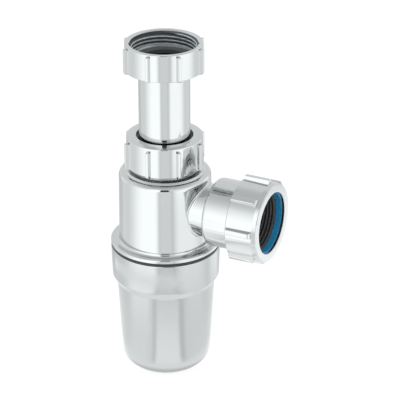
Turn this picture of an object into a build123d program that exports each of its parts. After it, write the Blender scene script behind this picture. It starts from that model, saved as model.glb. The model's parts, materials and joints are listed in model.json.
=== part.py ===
"""A chromed washbasin bottle trap with a telescopic inlet and a compression outlet.

The trap stands on z = 0. The inlet runs along the Z axis and the outlet along +X. Millimetres.
"""
from build123d import *
from math import sqrt
import os

# Clearances between pieces
fit_gap = 0.3  # round pieces that pass each other without rubbing
grip_gap = 0.05  # a rubber ring round the tube that it seals
seat_gap = 0.1  # a rubber ring in the taper that it seals

# Inlet tube, a 32 mm pipe with a turned-out rim
tube_radius = 16.0
tube_wall = 1.5
tube_length = 100.4
tube_showing = 43.2  # what stands between the two upright nuts
tube_rim_width = 3.2
tube_rim_thickness = 2.0
tube_lead_in = 0.6

# Inlet nut, with the 1 1/4 inch pipe thread that screws to the basin waste
pipe_thread_radius = 20.95
inlet_nut_wall = 3.05
inlet_nut_lip = 2.4
inlet_thread_depth = 10.5
inlet_mouth_chamfer = 0.7
inlet_rib_setback = 1.1
inlet_washer_thickness = 2.5

# Dip tube, which carries the inlet below the water
water_seal = 75.0  # depth of water held above the foot of the dip tube
dip_wall = 1.6
dip_rim_width = 0.6
dip_rim_height = 2.0

# Neck of the body, and the nut, slip washer and taper seal that hold the tube in it
neck_wall = 2.8
neck_rise = 17.7
neck_foot_rise = 1.2  # a low collar round the foot of the neck
neck_foot_width = 2.4
neck_foot_slope = 1.2
gland_nut_rise = 3.9  # from the shoulder of the body to the foot of the nut
gland_nut_wall = 2.1
gland_nut_lip = 2.4
gland_hole_gap = 1.7
gland_nut_edge_width = 2.8  # the sloping outer edge of the nut's top
gland_nut_edge_fall = 0.5
gland_nut_rounding = 0.9
gland_rib_setback = 2.6
gland_washer_thickness = 1.6
gland_seal_height = 7.5  # the part of the seal inside the neck
gland_seal_head = 2.3  # the part of the seal above the neck
gland_taper_depth = 3.4
gland_taper_width = 2.0

# Ribs of the two upright nuts
nut_rib_count = 8
nut_rib_height = 2.3
nut_rib_root = 2.9
nut_rib_crown = 1.7
nut_rib_nose = 0.9
nut_rib_arch = 1.6
nut_rib_foot = 1.6
inlet_rib_phase = 3.7
gland_rib_phase = 2.5

# Body: a tapered drum between the neck and the flange that the bottle closes on
shoulder_flat = 0.3  # from the neck's foot to the rounded shoulder
body_taper = 0.4
body_wall = 2.4
body_shoulder_rounding = 3.5
flange_thickness = 2.4
flange_dish = 0.5
flange_rounding = 1.0
flange_cove = 1.8
skirt_step = 2.5
skirt_wall = 2.5
skirt_depth = 15.0

# Bottle
bottle_height = 85.5
bottle_wall = 2.2
bottle_foot_rounding = 12.0
bottle_taper = 3.3  # how much narrower the foot is than the waist
bottle_waist_step = 2.9  # how far the band stands out from the waist
bottle_band_wall = 1.9
bottle_rim_wall = 2.5
bottle_band_depth = 20.2
bottle_slope_height = 5.0
bottle_seal_thickness = 2.1
bottle_seal_setback = 0.2

# Outlet branch, socket and threaded spigot
outlet_rise = 25.0  # from the top of the flange to the outlet axis
outlet_bore = 15.0
branch_wall = 1.5
branch_headroom = 5.3
branch_blend = 2.0
blend_margin = 0.1  # of plain wall left between the blend and the shoulder's rounding
branch_reach = 35.0
socket_length = 18.0
socket_step = 0.95
socket_rounding = 2.6
spigot_length = 13.4
spigot_wall = 1.75
pipe_stop_depth = 6.0

# Outlet nut, slip ring and ribbed seal
outlet_nut_gap = 0.5
outlet_nut_wall = 4.95
outlet_nut_taper = 0.5
outlet_nut_collar = 3.0
outlet_nut_collar_fall = 0.8
outlet_nut_rounding = 0.9
outlet_nut_lip = 2.2
outlet_nut_lip_width = 1.55
outlet_rib_count = 8
outlet_rib_height = 2.7
outlet_rib_root = 4.6
outlet_rib_crown = 3.0
outlet_rib_nose = 1.8
outlet_rib_arch = 1.0
outlet_rib_phase = 40.0
outlet_rib_setback = 0.8
slip_ring_thickness = 3.7
slip_ring_inset = 0.6
seal_flange_thickness = 1.6
seal_sleeve_length = 15.4
seal_wall = 0.7
seal_rib_count = 7
seal_rib_height = 0.6
seal_rib_lead = 0.3
seal_rib_lean = 0.8
seal_rib_tip = 0.3
seal_rib_foot = 1.5

# Small roundings
edge_rounding = 0.6
soft_rounding = 1.2
rib_rounding = 0.5
rib_flare = 0.3

# Radii that follow, from the tube outwards
tube_bore = tube_radius - tube_wall
tube_rim_radius = tube_radius + tube_rim_width
sliding_radius = tube_radius + fit_gap
dip_radius = sliding_radius + dip_wall
dip_rim_radius = dip_radius + dip_rim_width
neck_bore = dip_rim_radius + fit_gap
neck_radius = neck_bore + neck_wall
neck_foot_radius = neck_radius + neck_foot_width
gland_nut_bore = neck_radius + fit_gap
gland_nut_radius = gland_nut_bore + gland_nut_wall
gland_hole_radius = tube_radius + gland_hole_gap
inlet_nut_radius = pipe_thread_radius + inlet_nut_wall
inlet_pocket_radius = tube_rim_radius + fit_gap
body_head_radius = neck_foot_radius + neck_foot_slope + shoulder_flat + body_shoulder_rounding
body_radius = body_head_radius + body_taper
skirt_radius = body_radius + skirt_step
bottle_bore = skirt_radius + fit_gap
bottle_rim_radius = bottle_bore + bottle_rim_wall
bottle_band_radius = bottle_bore + bottle_band_wall
bottle_waist_radius = bottle_band_radius - bottle_waist_step
bottle_foot_radius = bottle_waist_radius - bottle_taper
branch_radius = outlet_bore + branch_wall
spigot_radius = pipe_thread_radius - fit_gap
spigot_bore = spigot_radius - spigot_wall
socket_radius = spigot_radius + socket_step
outlet_nut_rear_radius = pipe_thread_radius + outlet_nut_wall
outlet_nut_front_radius = outlet_nut_rear_radius - outlet_nut_taper
outlet_nut_face_radius = outlet_nut_front_radius - outlet_nut_collar_fall
outlet_hole_radius = pipe_thread_radius - outlet_nut_lip_width
slip_ring_bore = outlet_hole_radius - slip_ring_inset
seal_sleeve_radius = spigot_bore - fit_gap
seal_root_radius = seal_sleeve_radius - seal_wall
seal_bore = seal_root_radius - seal_rib_height
seal_rib_pitch = seal_sleeve_length / seal_rib_count

# Heights that follow, from the base upwards
bottle_band_height = bottle_height - bottle_band_depth
bottle_waist_height = bottle_band_height - bottle_slope_height
flange_foot = bottle_height + bottle_seal_thickness
flange_top = flange_foot + flange_thickness
skirt_foot = flange_foot - skirt_depth
outlet_height = flange_top + outlet_rise
body_top = outlet_height + branch_radius + branch_headroom
neck_foot_top = body_top + neck_foot_rise
neck_top = body_top + neck_rise
dip_foot = outlet_height - outlet_bore - water_seal
dip_top = neck_top - gland_seal_height
dip_rim_foot = dip_top - dip_rim_height
gland_nut_foot = body_top + gland_nut_rise
gland_seal_top = neck_top + gland_seal_head
gland_lip_foot = gland_seal_top + gland_washer_thickness
gland_nut_top = gland_lip_foot + gland_nut_lip
gland_nut_edge_height = gland_nut_top - gland_nut_edge_fall
inlet_nut_foot = gland_nut_top + tube_showing
tube_rim_foot = inlet_nut_foot + inlet_nut_lip
tube_top = tube_rim_foot + tube_rim_thickness
inlet_washer_top = tube_top + inlet_washer_thickness
inlet_thread_start = inlet_washer_top + pipe_thread_radius - inlet_pocket_radius
inlet_nut_top = inlet_washer_top + inlet_thread_depth

# Distances that follow, along the outlet
socket_end = branch_reach + socket_length
spigot_end = socket_end + spigot_length
pipe_stop = socket_end - pipe_stop_depth
outlet_nut_start = socket_end + outlet_nut_gap
seal_sleeve_foot = spigot_end - seal_sleeve_length
slip_ring_start = spigot_end + seal_flange_thickness
slip_ring_end = slip_ring_start + slip_ring_thickness
outlet_nut_end = slip_ring_end + outlet_nut_lip
outlet_nut_collar_start = outlet_nut_end - outlet_nut_collar

inlet_base = Plane.XY.offset(inlet_nut_foot)
gland_base = Plane.XY.offset(gland_nut_foot)
outlet_base = Plane(origin=(outlet_nut_start, 0, outlet_height), x_dir=(0, 1, 0), z_dir=(1, 0, 0))
outlet_section = Plane(origin=(0, 0, outlet_height), x_dir=(0, 0, 1), z_dir=(0, 1, 0))
outlet_axis = Axis((0, 0, outlet_height), (1, 0, 0))


def round_corner(section, x, y, radius):
    """Rounds the corner of a section that lies nearest to a point."""
    fillet(section.vertices().sort_by_distance((x, y, 0))[0], radius)


def nut_rib(wall_radius, height, root_width, crown_width, length, foot, nose, arch):
    """One rib of a nut: a tapered bar along Z with flared roots, rounded ends and an arched far end."""
    buried_radius = wall_radius - edge_rounding
    crown_radius = wall_radius + height
    flare_reach = root_width / 2 + rib_flare
    flare_radius = sqrt(wall_radius**2 - flare_reach**2)
    with BuildPart() as rib:
        with BuildSketch(Plane.XY) as across:
            with BuildLine():
                Polyline(
                    (buried_radius, -flare_reach),
                    (flare_radius, -flare_reach),
                    (flare_radius, -root_width / 2),
                    (crown_radius, -crown_width / 2),
                    (crown_radius, crown_width / 2),
                    (flare_radius, root_width / 2),
                    (flare_radius, flare_reach),
                    (buried_radius, flare_reach),
                    close=True,
                )
            make_face()
            for side in (-1, 1):
                round_corner(across, crown_radius, side * crown_width / 2, rib_rounding)
                round_corner(across, flare_radius, side * root_width / 2, rib_flare)
        extrude(amount=length)
        with BuildSketch(Plane.XZ) as along:
            with BuildLine():
                Polyline(
                    (buried_radius, 0),
                    (crown_radius, 0),
                    (crown_radius, length),
                    (buried_radius, length),
                    close=True,
                )
            make_face()
            round_corner(along, crown_radius, length, nose)
            round_corner(along, crown_radius, 0, foot)
        extrude(amount=flare_reach, both=True, mode=Mode.INTERSECT)
        with BuildSketch(Plane.YZ) as front:
            with Locations((0, length / 2)):
                Rectangle(2 * flare_reach, length)
            round_corner(front, -flare_reach, length, arch)
            round_corner(front, flare_reach, length, arch)
        extrude(amount=crown_radius, mode=Mode.INTERSECT)
    return rib.part


# Bottle: a tapered cup whose band takes the thread of the body
with BuildPart() as bottle:
    with BuildSketch(Plane.XZ) as cup:
        with BuildLine():
            Polyline(
                (0, 0),
                (bottle_foot_radius, 0),
                (bottle_waist_radius, bottle_waist_height),
                (bottle_band_radius, bottle_band_height),
                (bottle_rim_radius, bottle_height),
                (bottle_bore, bottle_height),
                (bottle_bore, bottle_band_height + bottle_wall),
                (bottle_waist_radius - bottle_wall, bottle_waist_height + bottle_wall / 2),
                (bottle_foot_radius - bottle_wall, bottle_wall),
                (0, bottle_wall),
                close=True,
            )
        make_face()
        round_corner(cup, bottle_foot_radius, 0, bottle_foot_rounding)
        round_corner(cup, bottle_foot_radius - bottle_wall, bottle_wall, bottle_foot_rounding - bottle_wall)
        round_corner(cup, bottle_waist_radius, bottle_waist_height, soft_rounding)
        round_corner(cup, bottle_band_radius, bottle_band_height, soft_rounding)
        round_corner(cup, bottle_rim_radius, bottle_height, edge_rounding)
    revolve(axis=Axis.Z)
bottle.part.label = "bottle"

# Flat rubber ring between the bottle's rim and the body's flange
with BuildPart() as bottle_seal:
    with BuildSketch(Plane.XY.offset(bottle_height)):
        Circle(bottle_rim_radius - bottle_seal_setback)
        Circle(bottle_bore, mode=Mode.SUBTRACT)
    extrude(amount=bottle_seal_thickness)
bottle_seal.part.label = "bottle_seal"

# Body: drum, neck, flange, skirt and branch in one moulding
with BuildPart() as trap_body:
    with BuildSketch(Plane.XZ) as drum:
        with BuildLine():
            Polyline(
                (0, skirt_foot),
                (skirt_radius, skirt_foot),
                (skirt_radius, flange_foot),
                (bottle_rim_radius, flange_foot),
                (bottle_rim_radius, flange_top),
                (body_radius, flange_top - flange_dish),
                (body_head_radius, body_top),
                (neck_foot_radius + neck_foot_slope, body_top),
                (neck_foot_radius, neck_foot_top),
                (neck_radius, neck_foot_top),
                (neck_radius, neck_top),
                (0, neck_top),
                close=True,
            )
        make_face()
        round_corner(drum, bottle_rim_radius, flange_top, flange_rounding)
        round_corner(drum, body_radius, flange_top - flange_dish, flange_cove)
        round_corner(drum, body_head_radius, body_top, body_shoulder_rounding)
        round_corner(drum, neck_foot_radius, neck_foot_top, edge_rounding)
        round_corner(drum, neck_radius, neck_foot_top, edge_rounding)
    revolve(axis=Axis.Z)

    with BuildSketch(outlet_section):
        with BuildLine():
            Polyline(
                (0, 0),
                (branch_radius, 0),
                (branch_radius, branch_reach + socket_rounding),
                (0, branch_reach + socket_rounding),
                close=True,
            )
        make_face()
    revolve(axis=outlet_axis)
    meeting = trap_body.edges(Select.LAST).filter_by(GeomType.BSPLINE)
    fillet(meeting, min(branch_blend, branch_headroom - body_shoulder_rounding - blend_margin))

    with BuildSketch(outlet_section) as socket:
        with BuildLine():
            Polyline(
                (0, branch_reach),
                (socket_radius, branch_reach),
                (socket_radius, socket_end),
                (spigot_radius, socket_end),
                (spigot_radius, spigot_end),
                (0, spigot_end),
                close=True,
            )
        make_face()
        round_corner(socket, socket_radius, branch_reach, socket_rounding)
        round_corner(socket, socket_radius, socket_end, edge_rounding)
    revolve(axis=outlet_axis)

    with BuildSketch(Plane.XZ):
        with BuildLine():
            Polyline(
                (0, skirt_foot),
                (skirt_radius - skirt_wall, skirt_foot),
                (skirt_radius - skirt_wall, flange_foot - flange_thickness),
                (body_radius - body_wall, flange_top),
                (body_head_radius - body_wall, body_top - body_wall),
                (dip_radius + fit_gap, body_top - body_wall),
                (dip_radius + fit_gap, dip_rim_foot),
                (neck_bore, dip_rim_foot),
                (neck_bore, neck_top - gland_taper_depth),
                (neck_bore + gland_taper_width, neck_top),
                (0, neck_top),
                close=True,
            )
        make_face()
    revolve(axis=Axis.Z, mode=Mode.SUBTRACT)

    with BuildSketch(outlet_section):
        with BuildLine():
            Polyline(
                (0, dip_radius),
                (outlet_bore, dip_radius),
                (outlet_bore, pipe_stop),
                (spigot_bore, pipe_stop),
                (spigot_bore, spigot_end),
                (0, spigot_end),
                close=True,
            )
        make_face()
    revolve(axis=outlet_axis, mode=Mode.SUBTRACT)
trap_body.part.label = "trap_body"

# Dip tube: hangs from its rim in the neck
with BuildPart() as dip_tube:
    with BuildSketch(Plane.XZ):
        with BuildLine():
            Polyline(
                (sliding_radius, dip_foot),
                (dip_radius, dip_foot),
                (dip_radius, dip_rim_foot),
                (dip_rim_radius, dip_rim_foot),
                (dip_rim_radius, dip_top),
                (sliding_radius, dip_top),
                close=True,
            )
        make_face()
    revolve(axis=Axis.Z)
dip_tube.part.label = "dip_tube"

# Taper seal: squeezed into the mouth of the neck round the tube
with BuildPart() as gland_seal:
    with BuildSketch(Plane.XZ):
        with BuildLine():
            Polyline(
                (tube_radius + grip_gap, dip_top),
                (neck_bore - seat_gap, dip_top),
                (neck_bore - seat_gap, neck_top - gland_taper_depth),
                (neck_bore + gland_taper_width - seat_gap, neck_top),
                (neck_bore + gland_taper_width - seat_gap, gland_seal_top),
                (tube_radius + grip_gap, gland_seal_top),
                close=True,
            )
        make_face()
    revolve(axis=Axis.Z)
gland_seal.part.label = "gland_seal"

# Slip washer: lets the nut turn without dragging the seal
with BuildPart() as gland_washer:
    with BuildSketch(Plane.XY.offset(gland_seal_top)):
        Circle(neck_radius)
        Circle(sliding_radius, mode=Mode.SUBTRACT)
    extrude(amount=gland_washer_thickness)
gland_washer.part.label = "gland_washer"

# Gland nut: open below, with a lip round the tube
gland_rib = nut_rib(
    gland_nut_radius,
    nut_rib_height,
    nut_rib_root,
    nut_rib_crown,
    gland_nut_top - gland_rib_setback - gland_nut_foot,
    nut_rib_foot,
    nut_rib_nose,
    nut_rib_arch,
)
with BuildPart() as gland_nut:
    with BuildSketch(Plane.XZ) as shell:
        with BuildLine():
            Polyline(
                (gland_nut_bore, gland_nut_foot),
                (gland_nut_radius, gland_nut_foot),
                (gland_nut_radius, gland_nut_edge_height),
                (gland_nut_radius - gland_nut_edge_width, gland_nut_top),
                (gland_hole_radius, gland_nut_top),
                (gland_hole_radius, gland_lip_foot),
                (gland_nut_bore, gland_lip_foot),
                close=True,
            )
        make_face()
        round_corner(shell, gland_nut_radius, gland_nut_edge_height, gland_nut_rounding)
        round_corner(shell, gland_hole_radius, gland_nut_top, edge_rounding)
        round_corner(shell, gland_nut_radius, gland_nut_foot, edge_rounding)
    revolve(axis=Axis.Z)
    with Locations(gland_base):
        with PolarLocations(0, nut_rib_count, start_angle=gland_rib_phase):
            add(gland_rib)
gland_nut.part.label = "gland_nut"

# Inlet tube: slides in the gland and the dip tube
with BuildPart() as inlet_tube:
    with BuildSketch(Plane.XZ) as pipe:
        with BuildLine():
            Polyline(
                (tube_bore, tube_top - tube_length),
                (tube_radius, tube_top - tube_length),
                (tube_radius, tube_rim_foot),
                (tube_rim_radius, tube_rim_foot),
                (tube_rim_radius, tube_top),
                (tube_bore, tube_top),
                close=True,
            )
        make_face()
        foot_edge = pipe.vertices().sort_by_distance((tube_radius, tube_top - tube_length, 0))[0]
        chamfer(foot_edge, tube_lead_in)
    revolve(axis=Axis.Z)
inlet_tube.part.label = "inlet_tube"

# Flat rubber washer on the tube's rim
with BuildPart() as inlet_washer:
    with BuildSketch(Plane.XY.offset(tube_top)):
        Circle(tube_rim_radius)
        Circle(tube_bore, mode=Mode.SUBTRACT)
    extrude(amount=inlet_washer_thickness)
inlet_washer.part.label = "inlet_washer"

# Inlet nut: hangs on the tube's rim by its lip, with a pocket for the rim below the thread
inlet_rib = nut_rib(
    inlet_nut_radius,
    nut_rib_height,
    nut_rib_root,
    nut_rib_crown,
    inlet_nut_top - inlet_rib_setback - inlet_nut_foot,
    nut_rib_foot,
    nut_rib_nose,
    nut_rib_arch,
)
with BuildPart() as inlet_nut:
    with BuildSketch(Plane.XZ) as crown:
        with BuildLine():
            Polyline(
                (sliding_radius, inlet_nut_foot),
                (inlet_nut_radius, inlet_nut_foot),
                (inlet_nut_radius, inlet_nut_top),
                (pipe_thread_radius, inlet_nut_top),
                (pipe_thread_radius, inlet_thread_start),
                (inlet_pocket_radius, inlet_washer_top),
                (inlet_pocket_radius, tube_rim_foot),
                (sliding_radius, tube_rim_foot),
                close=True,
            )
        make_face()
        mouth = crown.vertices().sort_by_distance((pipe_thread_radius, inlet_nut_top, 0))[0]
        chamfer(mouth, inlet_mouth_chamfer)
        round_corner(crown, inlet_nut_radius, inlet_nut_top, edge_rounding)
        round_corner(crown, inlet_nut_radius, inlet_nut_foot, edge_rounding)
    revolve(axis=Axis.Z)
    with Locations(inlet_base):
        with PolarLocations(0, nut_rib_count, start_angle=inlet_rib_phase):
            add(inlet_rib)
inlet_nut.part.label = "inlet_nut"

# Ribbed seal: a flanged rubber sleeve whose ribs grip the waste pipe
with BuildPart() as outlet_seal:
    ribbing = [(slip_ring_bore, slip_ring_start)]
    for rib in range(seal_rib_count):
        front = slip_ring_start - seal_rib_lead - rib * seal_rib_pitch
        ribbing += [
            (seal_root_radius, front),
            (seal_bore, front - seal_rib_lean),
            (seal_bore, front - seal_rib_lean - seal_rib_tip),
            (seal_root_radius, front - seal_rib_foot),
        ]
    with BuildSketch(outlet_section):
        with BuildLine():
            Polyline(
                *ribbing,
                (seal_root_radius, seal_sleeve_foot),
                (seal_sleeve_radius, seal_sleeve_foot),
                (seal_sleeve_radius, spigot_end),
                (spigot_radius, spigot_end),
                (spigot_radius, slip_ring_start),
                close=True,
            )
        make_face()
    revolve(axis=outlet_axis)
outlet_seal.part.label = "outlet_seal"

# Slip ring between the seal's flange and the nut's lip
with BuildPart() as outlet_slip_ring:
    with BuildSketch(outlet_base.offset(slip_ring_start - outlet_nut_start)):
        Circle(spigot_radius)
        Circle(slip_ring_bore, mode=Mode.SUBTRACT)
    extrude(amount=slip_ring_thickness)
outlet_slip_ring.part.label = "outlet_slip_ring"

# Outlet nut: open towards the body, with a tapered collar and a lip at the front
outlet_rib = nut_rib(
    outlet_nut_front_radius,
    outlet_rib_height,
    outlet_rib_root,
    outlet_rib_crown,
    outlet_nut_collar_start - outlet_rib_setback - outlet_nut_start,
    edge_rounding,
    outlet_rib_nose,
    outlet_rib_arch,
)
with BuildPart() as outlet_nut:
    with BuildSketch(outlet_section) as ring:
        with BuildLine():
            Polyline(
                (pipe_thread_radius, outlet_nut_start),
                (outlet_nut_rear_radius, outlet_nut_start),
                (outlet_nut_front_radius, outlet_nut_collar_start),
                (outlet_nut_face_radius, outlet_nut_end),
                (outlet_hole_radius, outlet_nut_end),
                (outlet_hole_radius, slip_ring_end),
                (pipe_thread_radius, slip_ring_end),
                close=True,
            )
        make_face()
        round_corner(ring, outlet_nut_rear_radius, outlet_nut_start, edge_rounding)
        round_corner(ring, outlet_nut_face_radius, outlet_nut_end, outlet_nut_rounding)
        round_corner(ring, outlet_hole_radius, outlet_nut_end, edge_rounding)
    revolve(axis=outlet_axis)
    with Locations(outlet_base.offset(outlet_rib_setback)):
        with PolarLocations(0, outlet_rib_count, start_angle=outlet_rib_phase):
            add(outlet_rib)
outlet_nut.part.label = "outlet_nut"

pieces = [
    bottle,
    bottle_seal,
    trap_body,
    dip_tube,
    gland_seal,
    gland_washer,
    gland_nut,
    inlet_tube,
    inlet_washer,
    inlet_nut,
    outlet_seal,
    outlet_slip_ring,
    outlet_nut,
]
os.makedirs("parts", exist_ok=True)
for piece in pieces:
    export_step(piece.part, "parts/" + piece.part.label + ".step")
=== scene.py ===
import json
import math

import bmesh
import bpy
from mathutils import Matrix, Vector

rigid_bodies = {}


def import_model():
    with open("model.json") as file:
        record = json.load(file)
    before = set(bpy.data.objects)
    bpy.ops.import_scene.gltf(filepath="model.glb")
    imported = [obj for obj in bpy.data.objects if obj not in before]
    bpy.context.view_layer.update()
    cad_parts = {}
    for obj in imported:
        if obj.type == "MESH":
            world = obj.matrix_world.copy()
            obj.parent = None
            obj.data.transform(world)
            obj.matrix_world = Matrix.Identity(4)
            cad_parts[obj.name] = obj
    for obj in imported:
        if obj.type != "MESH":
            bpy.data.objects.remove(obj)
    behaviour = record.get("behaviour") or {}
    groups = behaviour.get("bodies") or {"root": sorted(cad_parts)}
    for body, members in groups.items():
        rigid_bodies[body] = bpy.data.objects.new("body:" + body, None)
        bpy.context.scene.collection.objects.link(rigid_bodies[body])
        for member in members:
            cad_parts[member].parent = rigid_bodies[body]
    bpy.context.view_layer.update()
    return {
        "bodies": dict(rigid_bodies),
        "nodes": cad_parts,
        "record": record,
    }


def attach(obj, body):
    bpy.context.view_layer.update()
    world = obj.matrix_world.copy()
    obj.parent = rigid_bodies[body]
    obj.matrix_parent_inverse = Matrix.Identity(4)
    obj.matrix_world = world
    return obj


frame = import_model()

MM = 0.001

# Camera: a long lens that looks down on the trap from its outlet side
CAMERA_PLACE = (0.4630, -0.8913, 0.6043)
CAMERA_TARGET = (0.01965, 0.00967, 0.1150)
CAMERA_LENS = 159.4
CAMERA_SENSOR = 36.0
CAMERA_CLIP = 0.01
CAMERA_AZIMUTH = 26.2  # degrees, where the light tent has its nought


def make_camera():
    lens = bpy.data.cameras.new("camera")
    lens.lens = CAMERA_LENS
    lens.sensor_width = CAMERA_SENSOR
    lens.clip_start = CAMERA_CLIP
    camera = bpy.data.objects.new("camera", lens)
    bpy.context.scene.collection.objects.link(camera)
    camera.location = CAMERA_PLACE
    look = Vector(CAMERA_TARGET) - Vector(CAMERA_PLACE)
    camera.rotation_euler = look.to_track_quat("-Z", "Y").to_euler()
    bpy.context.scene.camera = camera


# Node helpers


def fill(tree, socket, value):
    """Links the socket to a value that comes from a node, or else sets it."""
    if isinstance(value, bpy.types.NodeSocket):
        tree.links.new(value, socket)
    else:
        socket.default_value = value


def add(tree, kind, values=(), **settings):
    """Adds a node, sets its properties, and links or fills its inputs."""
    made = tree.nodes.new(kind)
    for name, value in settings.items():
        setattr(made, name, value)
    for key, value in dict(values).items():
        fill(tree, made.inputs[key], value)
    return made


def maths(tree, operation, *values):
    return add(tree, "ShaderNodeMath", enumerate(values), operation=operation).outputs[0]


def vector_maths(tree, operation, *values):
    return add(tree, "ShaderNodeVectorMath", enumerate(values), operation=operation).outputs


def length_in_mm(tree, vector):
    return maths(tree, "DIVIDE", vector_maths(tree, "LENGTH", vector)["Value"], MM)


def ease(tree, value, start, end, low=0.0, high=1.0):
    """Goes smoothly from low to high as the value goes from start to end."""
    inputs = {"Value": value, "From Min": start, "From Max": end, "To Min": low, "To Max": high}
    return add(tree, "ShaderNodeMapRange", inputs, interpolation_type="SMOOTHSTEP").outputs[0]


def window(tree, value, low, low_soft, high, high_soft):
    """One between low and high, nought outside, with soft edges."""
    up = ease(tree, value, low - low_soft, low + low_soft)
    down = ease(tree, value, high - high_soft, high + high_soft, 1.0, 0.0)
    return maths(tree, "MULTIPLY", up, down)


def blend_colour(tree, factor, first, second):
    made = add(tree, "ShaderNodeMix", data_type="RGBA")
    sockets = (made.inputs[0], made.inputs[6], made.inputs[7])  # the factor and the two colours
    for socket, value in zip(sockets, (factor, first, second)):
        fill(tree, socket, value)
    return made.outputs[2]


def grey(level, tint=(1.0, 1.0, 1.0)):
    return (level * tint[0], level * tint[1], level * tint[2], 1.0)


# A light tent over a pale table. Angles are in degrees, round the trap from the camera and above the
# horizon; distances are in millimetres from the axis. Each panel is: left edge, right edge, its lower
# and upper edge (or its near and far edge on the table), each with its softness, and then brightness.
# A later panel covers those before it.
COOL = (0.975, 1.0, 1.005)
TENT_STRENGTH = 1.42  # plating reflects about two thirds of what shines on it
TENT_WALL = 0.67
TENT_PANELS = [
    ((-76, 26), (-17, 7), (-99, 1), (28, 26), 1.12),
    ((26, 10), (85, 20), (-99, 1), (28, 26), 1.02),
    ((-14, 3), (-9, 3), (-99, 1), (22, 8), 0.62),
    ((14, 3), (20, 4), (-99, 1), (22, 8), 0.55),
    ((-42, 14), (-11, 4), (6, 8), (62, 8), 1.10),
    ((-999, 1), (999, 1), (52, 16), (99, 1), 0.48),
    ((-999, 1), (-130, 15), (2, 10), (60, 12), 0.62),
    ((130, 15), (999, 1), (2, 10), (60, 12), 0.62),
    ((104, 8), (132, 8), (-99, 1), (18, 8), 0.92),
    ((-132, 8), (-104, 8), (-99, 1), (18, 8), 0.80),
    ((-11, 2), (11, 2), (9, 2), (46, 4), 0.04),
]
# Painted light and painted shadow on the table, seen only in reflections: pools where the tent's
# panels fall, and painted shadow that darkens the table near the trap, most of all round the bottle's
# foot
TABLE_PAINTED_LIGHT = [
    ((-999, 1), (999, 1), (-1, 1), (110, 50), 0.74),
    ((-14, 4), (17, 4), (-1, 1), (95, 60), 0.90),
    ((-76, 26), (-17, 7), (-1, 1), (110, 50), 0.82),
    ((-76, 26), (-17, 7), (115, 55), (9999, 1), 1.07),
    ((26, 10), (85, 20), (-1, 1), (110, 50), 0.76),
    ((26, 10), (85, 20), (130, 70), (9999, 1), 0.90),
    ((26, 10), (85, 20), (320, 70), (9999, 1), 1.02),
    ((-14, 3), (-10, 2.5), (-1, 1), (9999, 1), 0.63),
    ((14, 3), (20, 4), (-1, 1), (9999, 1), 0.60),
    ((100, 10), (132, 8), (130, 40), (320, 30), 0.90),
    ((140, 8), (999, 1), (130, 40), (9999, 1), 0.52),
    ((-999, 1), (-126, 8), (130, 40), (9999, 1), 0.52),
    ((-128, 10), (66, 12), (147, 4), (161, 3), 0.86),
    ((-999, 1), (999, 1), (-1, 1), (44, 6), 0.84),
    ((-999, 1), (999, 1), (-1, 1), (29, 4), 0.55),
]
SEAM_SPREAD = (110.0, 165.0, 0.5)  # nearer to the trap than this the seams run apart
SPREAD_ENDS = (30.0, 100.0)  # the angles between which that spread dies out
SKY_ON_DULL = 0.9  # what rubber and the table get from the tent
TABLE_REACH = 3.0
TABLE_PALENESS = 0.9
TABLE_GLOW = 1.08
TABLE_GLOW_SHARE = 0.85  # the rest of what the camera sees of the table is lit, and holds the shadow


def turn_from_camera(tree, parts):
    turn = maths(tree, "ARCTAN2", parts["X"], maths(tree, "MULTIPLY", parts["Y"], -1.0))
    turn = maths(tree, "SUBTRACT", maths(tree, "DEGREES", turn), CAMERA_AZIMUTH)
    return maths(tree, "WRAP", turn, 180.0, -180.0)


def spread_seams(tree, turn, distance):
    """Draws the angle in near the trap, but not far round from the camera."""
    near, far, least = SEAM_SPREAD
    spread = ease(tree, distance, near, far, least)
    sideways = ease(tree, maths(tree, "ABSOLUTE", turn), *SPREAD_ENDS)
    lost = maths(tree, "MULTIPLY", sideways, maths(tree, "SUBTRACT", 1.0, spread))
    return maths(tree, "MULTIPLY", turn, maths(tree, "ADD", spread, lost))


def lay_panels(tree, turn, reach, panels):
    colour = grey(TENT_WALL * TENT_STRENGTH, COOL)
    for left, right, near, far, level in panels:
        across = window(tree, turn, *left, *right)
        along = window(tree, reach, *near, *far)
        shine = grey(level * TENT_STRENGTH, COOL)
        colour = blend_colour(tree, maths(tree, "MULTIPLY", across, along), colour, shine)
    return colour


def make_world():
    """The tent by the direction of a ray; plain white for the camera, plain grey for dull surfaces."""
    world = bpy.data.worlds.new("tent")
    bpy.context.scene.world = world
    world.use_nodes = True
    tree = world.node_tree
    tree.nodes.clear()
    direction = add(tree, "ShaderNodeTexCoord").outputs["Generated"]
    parts = add(tree, "ShaderNodeSeparateXYZ", {0: direction}).outputs
    height = maths(tree, "DEGREES", maths(tree, "ARCSINE", parts["Z"]))
    colour = lay_panels(tree, turn_from_camera(tree, parts), height, TENT_PANELS)
    rays = add(tree, "ShaderNodeLightPath").outputs
    colour = blend_colour(tree, rays["Is Diffuse Ray"], colour, grey(SKY_ON_DULL))
    colour = blend_colour(tree, rays["Is Camera Ray"], colour, grey(1.0))
    sky = add(tree, "ShaderNodeBackground", {"Color": colour})
    add(tree, "ShaderNodeOutputWorld", {"Surface": sky.outputs[0]})


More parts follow.
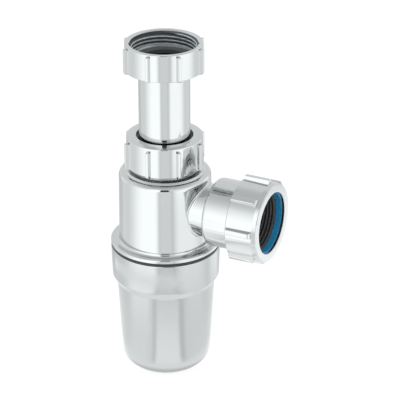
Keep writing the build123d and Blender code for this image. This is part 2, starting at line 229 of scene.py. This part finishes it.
def make_floor():
    """A pale table that follows the seal on the bottle's rim and keeps the trap's shadow; reflections
    see painted light and painted shadow on it.
    """
    mesh = bpy.data.meshes.new("floor")
    corners = [(x * TABLE_REACH, y * TABLE_REACH, 0) for x, y in ((-1, -1), (1, -1), (1, 1), (-1, 1))]
    mesh.from_pydata(corners, [], [(0, 1, 2, 3)])
    floor = bpy.data.objects.new("floor", mesh)
    bpy.context.scene.collection.objects.link(floor)
    material = bpy.data.materials.new("floor")
    material.use_nodes = True
    tree = material.node_tree
    tree.nodes.clear()
    place = add(tree, "ShaderNodeTexCoord").outputs["Object"]
    parts = add(tree, "ShaderNodeSeparateXYZ", {0: place}).outputs
    distance = length_in_mm(tree, place)
    turn = spread_seams(tree, turn_from_camera(tree, parts), distance)
    # Reflections see the table's painted light and painted shadow as a glow
    colour = lay_panels(tree, turn, distance, TABLE_PAINTED_LIGHT)
    panels = add(tree, "ShaderNodeEmission", {"Color": colour}).outputs[0]
    rays = add(tree, "ShaderNodeLightPath").outputs
    lit = add(tree, "ShaderNodeBsdfDiffuse", {"Color": grey(TABLE_PALENESS)}).outputs[0]
    glow = add(tree, "ShaderNodeEmission", {"Color": grey(1.0), "Strength": TABLE_GLOW}).outputs[0]
    share = maths(tree, "MULTIPLY", rays["Is Camera Ray"], TABLE_GLOW_SHARE)
    plain = add(tree, "ShaderNodeMixShader", {0: share, 1: lit, 2: glow}).outputs[0]
    seen = add(tree, "ShaderNodeMixShader", {0: rays["Is Glossy Ray"], 1: plain, 2: panels})
    add(tree, "ShaderNodeOutputMaterial", {"Surface": seen.outputs[0]})
    mesh.materials.append(material)
    floor.parent = frame["bodies"]["bottle_seal"]


# Materials. Noise scales are per metre; bump depths and reaches are in metres.
CLOUD_SCALE = 38.0
SMEAR_SCALE = 210.0
SWELL_SCALE = 55.0
STAIN_SCALE = 160.0
PLATING_GRAIN_SCALE = 900.0
PLATING_GRAIN = 0.0000012
THREAD_GRAIN = 0.000002
MOULDED_WEAR_SCALE = 420.0
MOULDED_GRAIN_SCALE = 2600.0
# Painted shade in the plating's corners: how far it looks for nearby surfaces, how many rays, and how
# open a spot is where it starts and ends
PAINTED_SHADE_REACH = 0.0014
PAINTED_SHADE_SAMPLES = 8
PAINTED_SHADE_OPENNESS = (0.36, 0.78)  # from fully shaded to clear
# A cool tint for the thread's painted groove shade and painted crest highlight
THREAD_TINT = (0.93, 1.0, 1.04)


def start_material(name):
    material = bpy.data.materials.new(name)
    material.use_nodes = True
    tree = material.node_tree
    shader = tree.nodes["Principled BSDF"]
    place = add(tree, "ShaderNodeTexCoord").outputs["Object"]
    return material, tree, shader.inputs, place


def noise(tree, place, scale, detail, roughness=0.5):
    inputs = {"Vector": place, "Scale": scale, "Detail": detail, "Roughness": roughness}
    return add(tree, "ShaderNodeTexNoise", inputs).outputs[0]


def bump(tree, sockets, height, distance, below=None):
    inputs = {"Height": height, "Distance": distance, "Strength": 1.0}
    if below:
        inputs["Normal"] = below
    made = add(tree, "ShaderNodeBump", inputs).outputs[0]
    tree.links.new(made, sockets["Normal"])
    return made


def chrome(name, dark, bright, smooth, rough, wave, shade):
    """Plated plastic: faintly wavy, with a thin film of handling marks, and painted shade that darkens
    its corners.
    """
    material, tree, sockets, place = start_material(name)
    sockets["Metallic"].default_value = 1.0
    cloud = noise(tree, place, CLOUD_SCALE, 3.0)
    smears = noise(tree, place, SMEAR_SCALE, 4.0, 0.6)
    plate = blend_colour(tree, cloud, grey(dark, COOL), grey(bright))
    reach = {"Distance": PAINTED_SHADE_REACH}
    # Painted shade: the colour goes down to the shade level where nearby surfaces close in round a
    # spot
    shade_openness = add(tree, "ShaderNodeAmbientOcclusion", reach, samples=PAINTED_SHADE_SAMPLES).outputs["AO"]
    clear = ease(tree, shade_openness, *PAINTED_SHADE_OPENNESS)
    tree.links.new(blend_colour(tree, clear, grey(shade, COOL), plate), sockets["Base Color"])
    tree.links.new(ease(tree, smears, 0.35, 0.75, smooth, rough), sockets["Roughness"])
    swell = bump(tree, sockets, noise(tree, place, SWELL_SCALE, 1.0), wave)
    bump(tree, sockets, noise(tree, place, PLATING_GRAIN_SCALE, 2.0), PLATING_GRAIN, swell)
    return material


def painted_crest_highlights(name, groove, crest):
    """Plating in a thread: dull, with painted shade, in the grooves, and a painted highlight on the
    crests, by radius round the Z axis.
    """
    material, tree, sockets, place = start_material(name)
    sockets["Metallic"].default_value = 0.5
    flat = vector_maths(tree, "MULTIPLY", place, (1.0, 1.0, 0.0))[0]
    # depth runs from the crests to the grooves and carries the painted highlight and the painted shade
    depth = ease(tree, length_in_mm(tree, flat), crest, groove)
    stain = noise(tree, place, STAIN_SCALE, 3.0)
    painted_groove_shade = blend_colour(tree, stain, grey(0.10, THREAD_TINT), grey(0.15, THREAD_TINT))
    colour = blend_colour(tree, depth, grey(0.72, THREAD_TINT), painted_groove_shade)
    tree.links.new(colour, sockets["Base Color"])
    tree.links.new(ease(tree, depth, 0.0, 1.0, 0.34, 0.5), sockets["Roughness"])
    bump(tree, sockets, noise(tree, place, PLATING_GRAIN_SCALE, 2.0), THREAD_GRAIN)
    return material


def moulded(name, dark, bright, smooth, rough, grain):
    """Rubber or plain plastic with a fine moulded grain."""
    material, tree, sockets, place = start_material(name)
    stain = noise(tree, place, STAIN_SCALE, 3.0)
    colour = blend_colour(tree, stain, (*dark, 1.0), (*bright, 1.0))
    tree.links.new(colour, sockets["Base Color"])
    wear = noise(tree, place, MOULDED_WEAR_SCALE, 3.0)
    tree.links.new(ease(tree, wear, 0.3, 0.7, smooth, rough), sockets["Roughness"])
    bump(tree, sockets, noise(tree, place, MOULDED_GRAIN_SCALE, 3.0, 0.6), grain)
    return material


# Each finish: its two levels or colours, its least and greatest roughness, the depth of its wave or
# grain, and for plating the level of its painted shade in corners; for a thread the radii of its
# grooves and crests in mm, which set its painted groove shade and crest highlight
FINISHES = {
    "chrome_plate": (chrome, 0.635, 0.665, 0.05, 0.09, 0.00002, 0.08),
    "soft_chrome": (chrome, 0.55, 0.58, 0.10, 0.16, 0.00003, 0.08),
    "thread_painted_light": (painted_crest_highlights, 20.2, 19.78),
    # A darker, rougher copy of the plating whose darkness is painted shade, for the threads in the
    # shadow of the nuts
    "painted_shade_chrome": (chrome, 0.40, 0.47, 0.24, 0.34, 0.00002, 0.36),
    "black_rubber": (moulded, (0.026, 0.025, 0.025), (0.052, 0.050, 0.050), 0.40, 0.58, 0.00001),
    "grey_rubber": (moulded, (0.07, 0.073, 0.076), (0.11, 0.114, 0.118), 0.45, 0.6, 0.00001),
    "black_plastic": (moulded, (0.012, 0.012, 0.013), (0.024, 0.024, 0.025), 0.3, 0.45, 0.000006),
    "white_plastic": (moulded, (0.70, 0.70, 0.68), (0.78, 0.78, 0.76), 0.35, 0.5, 0.000008),
    "blue_plastic": (moulded, (0.022, 0.28, 0.55), (0.032, 0.33, 0.62), 0.25, 0.38, 0.000006),
}
OWN_FINISHES = {"inlet_washer": "grey_rubber"}  # nodes that don't take the finish of their slot


def dress_nodes(materials):
    """Gives each solid the worked-out material of its slot."""
    for entry in frame["record"]["subparts"]:
        finish = OWN_FINISHES.get(entry["node"], entry["material_slot"])
        for slot in frame["nodes"][entry["node"]].material_slots:
            slot.material = materials[finish]


# Threads. Lengths are in millimetres, and walls and heights are those of the solids.
PIPE_PITCH = 25.4 / 11
BOTTLE_PITCH = 4.0
NUT_THREAD_WALL = 20.95
NECK_WALL = 21.6
NECK_NUT_WALL = 21.9
SPIGOT_WALL = 20.65
SKIRT_WALL = 31.9
BOTTLE_BORE = 32.2
OUTLET_HEIGHT = 115.0
GUIDE_DEPTH = 0.22  # of threads on two walls that stand 0.3 apart
SEEN_DEPTH = 1.25  # of the thread that shows in the inlet nut
NECK_RIDGE_TOP = 153.6
SPIGOT_RIDGE_END = 65.4
SKIRT_RIDGE_TOP = 85.0
GUIDE_END_ANGLE = 60.0
THREAD_STEPS = 180
THREAD_ROW = 0.11
SLEEVE_PROUD = 0.03
SLEEVE_SUNK = 0.4
RUN_OUT = 10.0  # a ridge gets its full height within a tenth of a turn
THREAD_SHARP_ANGLE = 40.0
FULL_TURN = 2.0 * math.pi


def thread_height(across, along, turns, crest, root):
    """The height of a screw ridge, from 0 to 1, at a distance from its middle and along its run."""
    flank = (root - abs(across)) / (root - crest)
    run_out = min(along, turns - along) * RUN_OUT
    return max(0.0, min(1.0, flank)) * max(0.0, min(1.0, run_out))


def make_thread(name, body, finish, wall, depth, pitch, ends, ridge,
                end_angle=GUIDE_END_ANGLE, form=(0.12, 0.25), centre=None, foot=None):
    """A thin threaded sleeve on a round wall, right-handed, as one closed surface.

    ends are the sleeve's edges and ridge the heights at which the ridge starts and stops, its stop at
    end_angle in degrees. A negative depth points at the axis. form is half the ridge's width at its
    crest and its root, in pitches. The axis is Z, or +X at the height of centre. foot is the radius
    and height of a cone's edge that the sleeve runs on to.
    """
    low, high = ends
    turns = (ridge[1] - ridge[0]) / pitch
    rows = int((high - low) / THREAD_ROW)
    side = math.copysign(1.0, depth)
    skin, buried = wall + SLEEVE_PROUD * side, wall - SLEEVE_SUNK * side
    start = math.radians(end_angle) - turns * FULL_TURN
    points, faces = [], []

    def ring(radii, height):
        for step, radius in enumerate(radii):
            angle = start + step / THREAD_STEPS * FULL_TURN
            a, b = radius * math.cos(angle), radius * math.sin(angle)
            if centre is None:
                points.append((a * MM, b * MM, height * MM))
            else:
                points.append((height * MM, a * MM, (centre + b) * MM))

    def plain_ring(radius, height):
        ring([radius] * THREAD_STEPS, height)

    if foot:
        plain_ring(buried, foot[1])
        plain_ring(*foot)
    else:
        plain_ring(buried, low)
    for row in range(rows + 1):
        height = low + (high - low) * row / rows
        radii = []
        for step in range(THREAD_STEPS):
            share = step / THREAD_STEPS
            lift = (height - ridge[0]) / pitch - share
            lap = math.floor(lift + 0.5)
            radii.append(skin + depth * thread_height(lift - lap, lap + share, turns, *form))
        ring(radii, height)
    plain_ring(buried, high)
    rings = len(points) // THREAD_STEPS
    for row in range(rings):
        faces += ring_faces(row * THREAD_STEPS, (row + 1) % rings * THREAD_STEPS, THREAD_STEPS)
    thread = make_piece(name, points, faces, THREAD_SHARP_ANGLE, materials[finish])
    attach(thread, body)


def ring_faces(first, second, count):
    """Quads between two rings of points."""
    nexts = [(k + 1) % count for k in range(count)]
    return [(first + k, first + nexts[k], second + nexts[k], second + k) for k in range(count)]


def make_piece(name, points, faces, sharp_angle, material):
    mesh = bpy.data.meshes.new(name)
    mesh.from_pydata(points, [], faces)
    piece = bpy.data.objects.new(name, mesh)
    bpy.context.scene.collection.objects.link(piece)
    finish_mesh(mesh, sharp_angle)
    mesh.materials.append(material)
    return piece


def finish_mesh(mesh, sharp_angle):
    """Points every face outwards and shades it smooth up to an angle."""
    work = bmesh.new()
    work.from_mesh(mesh)
    bmesh.ops.recalc_face_normals(work, faces=work.faces)
    work.to_mesh(mesh)
    work.free()
    mesh.shade_smooth()
    mesh.set_sharp_from_angle(angle=math.radians(sharp_angle))


materials = {name: make(name, *values) for name, (make, *values) in FINISHES.items()}
make_camera()
make_world()
make_floor()
dress_nodes(materials)
make_thread("inlet_nut_thread", "inlet_nut", "thread_painted_light",
            NUT_THREAD_WALL, -SEEN_DEPTH, PIPE_PITCH, (212.4, 220.6), (211.9, 219.6),
            end_angle=122.0, form=(0.13, 0.42), foot=(19.5, 210.95))
make_thread("neck_thread", "trap", "painted_shade_chrome",
            NECK_WALL, GUIDE_DEPTH, PIPE_PITCH, (138.7, 154.4), (139.3, NECK_RIDGE_TOP),
            foot=(23.75, 138.05))
make_thread("spigot_thread", "trap", "painted_shade_chrome",
            SPIGOT_WALL, GUIDE_DEPTH, PIPE_PITCH, (53.3, 66.3), (54.6, SPIGOT_RIDGE_END),
            centre=OUTLET_HEIGHT)
make_thread("skirt_thread", "trap", "painted_shade_chrome",
            SKIRT_WALL, GUIDE_DEPTH, BOTTLE_PITCH, (72.7, 87.4), (74.4, SKIRT_RIDGE_TOP))
# The ridge of a nut or the bottle stops half a pitch short, so that it runs in the other's groove
make_thread("gland_nut_thread", "gland_nut", "painted_shade_chrome",
            NECK_NUT_WALL, -GUIDE_DEPTH, PIPE_PITCH, (141.0, 155.0),
            (141.6, NECK_RIDGE_TOP - PIPE_PITCH / 2))
make_thread("outlet_nut_thread", "outlet_nut", "painted_shade_chrome",
            NUT_THREAD_WALL, -GUIDE_DEPTH, PIPE_PITCH, (54.0, 66.2),
            (54.6, SPIGOT_RIDGE_END - PIPE_PITCH / 2), centre=OUTLET_HEIGHT)
make_thread("bottle_thread", "bottle", "soft_chrome",
            BOTTLE_BORE, -GUIDE_DEPTH, BOTTLE_PITCH, (72.0, 85.0),
            (74.0, SKIRT_RIDGE_TOP - BOTTLE_PITCH / 2))

bpy.context.scene.view_settings.view_transform = "Standard"
